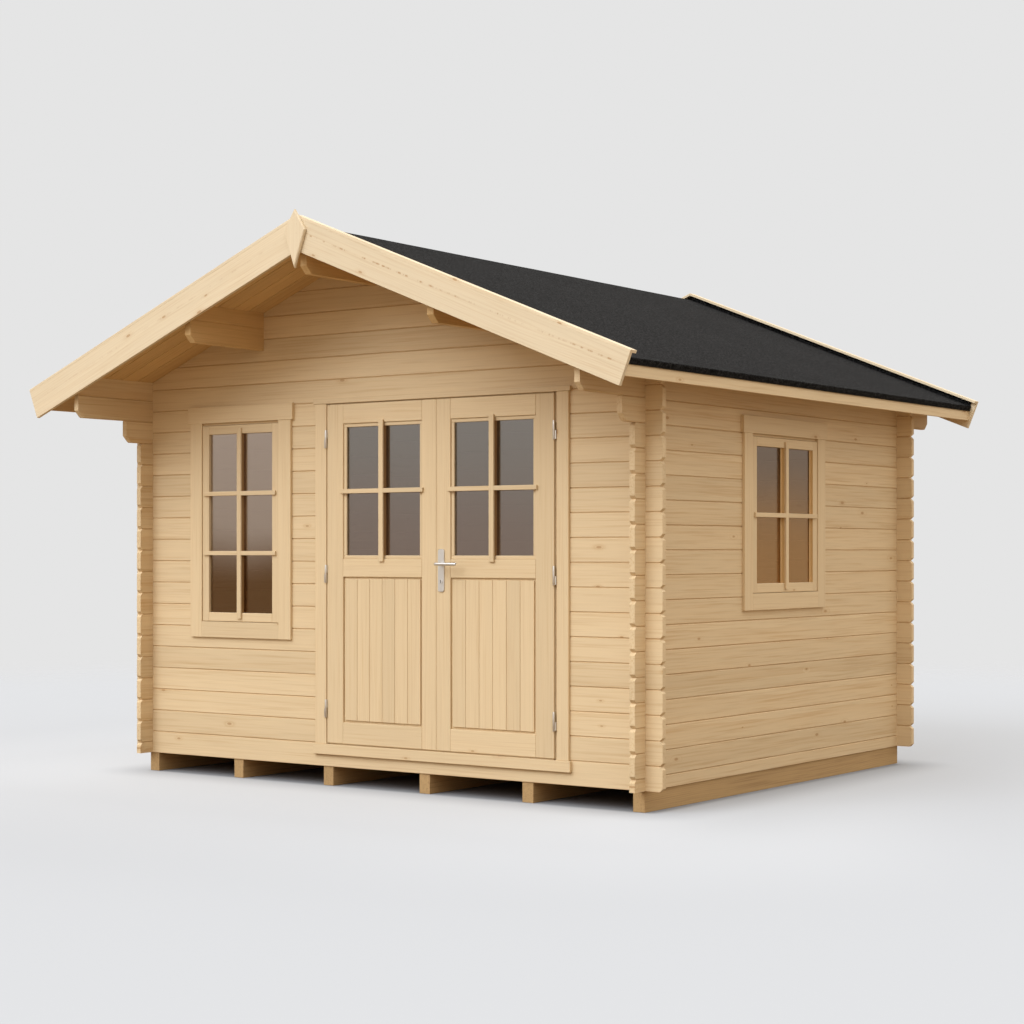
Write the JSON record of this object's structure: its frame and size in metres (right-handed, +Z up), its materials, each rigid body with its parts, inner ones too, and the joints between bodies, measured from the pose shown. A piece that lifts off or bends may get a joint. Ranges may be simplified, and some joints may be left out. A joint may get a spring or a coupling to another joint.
{
  "type": "log garden chalet",
  "caption": "Small gabled log chalet with interlocking corner ends, a felted overhanging roof, a glazed double door that opens outward and framed windows.",
  "frame": {"origin": "on the ground, under the middle of the box round the whole chalet", "axes": "+Z up, -Y the way the front with the double door faces, +X to the right of the front"},
  "size_m": [3.708, 3.693, 2.7817],
  "materials": {
    "log_pine": "planed, unpainted",
    "joinery_pine": "planed, unpainted",
    "bargeboard_pine": "planed, unpainted",
    "roof_pine": "planed, unpainted",
    "floor_pine": "planed, unpainted",
    "bearer_timber": "sawn",
    "felt": "mineral felt, matt",
    "glass": "clear, polished",
    "hardware": "satin"
  },
  "bodies": {
    "chalet": {"bearers": "bearer_timber", "floor_boards": "floor_pine", "front_wall_left": "log_pine", "front_wall_window_sill": "log_pine", "front_wall_over_window": "log_pine", "front_wall_middle": "log_pine", "front_wall_right": "log_pine", "front_wall_threshold": "log_pine", "front_gable": "log_pine", "rear_wall": "log_pine", "rear_gable": "log_pine", "left_wall": "log_pine", "left_wall_plate": "log_pine", "right_wall_front": "log_pine", "right_wall_rear": "log_pine", "right_wall_window_sill": "log_pine", "right_wall_plate": "log_pine", "ridge_purlin": "roof_pine", "left_purlin": "roof_pine", "right_purlin": "roof_pine", "left_roof_boards": "roof_pine", "right_roof_boards": "roof_pine", "left_felt": "felt", "right_felt": "felt", "left_eave_board": "log_pine", "right_eave_board": "log_pine", "front_left_bargeboard": "bargeboard_pine", "front_right_bargeboard": "bargeboard_pine", "rear_left_bargeboard": "bargeboard_pine", "rear_right_bargeboard": "bargeboard_pine", "finial": "bargeboard_pine", "front_window_frame": "joinery_pine", "front_window_sash": "joinery_pine", "front_window_glass": "glass", "side_window_frame": "joinery_pine", "side_window_sash": "joinery_pine", "side_window_glass": "glass", "door_left_jamb": "joinery_pine", "door_right_jamb": "joinery_pine", "door_head": "joinery_pine", "door_sill": "joinery_pine", "hinge_pins": "hardware"},
    "left_door": {"left_door_leaf": "joinery_pine", "left_door_glass": "glass", "left_hinge_knuckles": "hardware"},
    "right_door": {"right_door_leaf": "joinery_pine", "right_door_glass": "glass", "right_hinge_knuckles": "hardware", "handle_plates": "hardware"},
    "lever": {"door_lever": "hardware"}
  },
  "joints": [
    {"name": "left_door_hinge", "type": "hinge", "parent": "chalet", "child": "left_door", "pos_m": [-0.3, -1.2675, 0.216], "axis": [0, 0, -1], "range_deg": [0, 120]},
    {"name": "right_door_hinge", "type": "hinge", "parent": "chalet", "child": "right_door", "pos_m": [1.082, -1.2675, 0.216], "axis": [0, 0, 1], "range_deg": [0, 120]},
    {"name": "lever_turn", "type": "hinge", "parent": "right_door", "child": "lever", "pos_m": [0.425, -1.2615, 1.114], "axis": [0, 1, 0], "range_deg": [0, 45], "stiffness_Nm_per_rad": 1.5}
  ]
}
